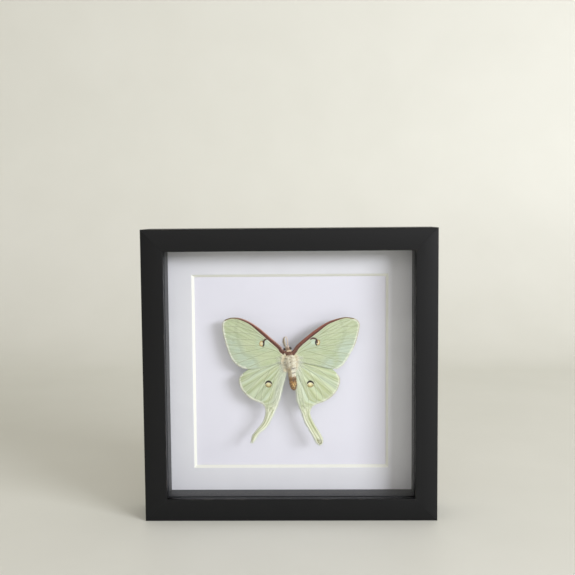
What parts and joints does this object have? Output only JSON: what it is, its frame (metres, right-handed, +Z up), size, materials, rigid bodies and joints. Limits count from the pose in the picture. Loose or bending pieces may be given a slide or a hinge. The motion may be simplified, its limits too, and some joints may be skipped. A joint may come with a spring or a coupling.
{
  "type": "mounted luna moth in shadow-box frame",
  "caption": "Life-size luna moth, wings spread and tails hanging, pinned on a white board with a bevelled mat inside a square black shadow-box frame with glass.",
  "frame": {"origin": "under the middle of the frame, on the surface that its bottom rail stands on", "axes": "+X along the width of the frame, to the right as seen from the front; +Y from the glass towards the back; +Z up"},
  "size_m": [0.23, 0.045, 0.23],
  "materials": {
    "black_wood": "black stained and lacquered wood, satin",
    "glass": "clear float glass",
    "black_card": "matt black spacer card",
    "mat_board": "pale grey-white mat board with a cream core",
    "foam_board": "matt white board",
    "fibreboard": "brown hardboard",
    "steel": "bright steel",
    "maroon_fur": "short maroon scales and hairs",
    "cream_fur": "cream woolly hair",
    "golden_fur": "golden brown woolly hair",
    "green_wing": "pale green scaled membrane",
    "eye": "dark compound eye",
    "feeler": "tan feathered feeler"
  },
  "bodies": {
    "root": {"rail_bottom": "black_wood", "rail_left": "black_wood", "rail_top": "black_wood", "rail_right": "black_wood", "glass_pane": "glass", "spacer_ring": "black_card", "mat_board": "mat_board", "backing_board": "foam_board", "back_panel": "fibreboard", "tab_1": "steel", "tab_2": "steel", "tab_3": "steel", "tab_4": "steel", "tab_5": "steel", "tab_6": "steel", "tab_7": "steel", "tab_8": "steel", "hanger": "steel", "hanger_nail_left": "steel", "hanger_nail_right": "steel", "pin": "steel", "collar": "maroon_fur", "thorax": "cream_fur", "abdomen": "golden_fur", "head": "cream_fur", "eye_left": "eye", "eye_right": "eye", "palp_left": "cream_fur", "palp_right": "cream_fur", "feeler_left": "feeler", "feeler_right": "feeler", "leg_left_1": "maroon_fur", "leg_left_2": "maroon_fur", "leg_left_3": "maroon_fur", "forewing_left": "green_wing", "hindwing_left": "green_wing", "leg_right_1": "maroon_fur", "leg_right_2": "maroon_fur", "leg_right_3": "maroon_fur", "forewing_right": "green_wing", "hindwing_right": "green_wing"}
  },
  "joints": []
}
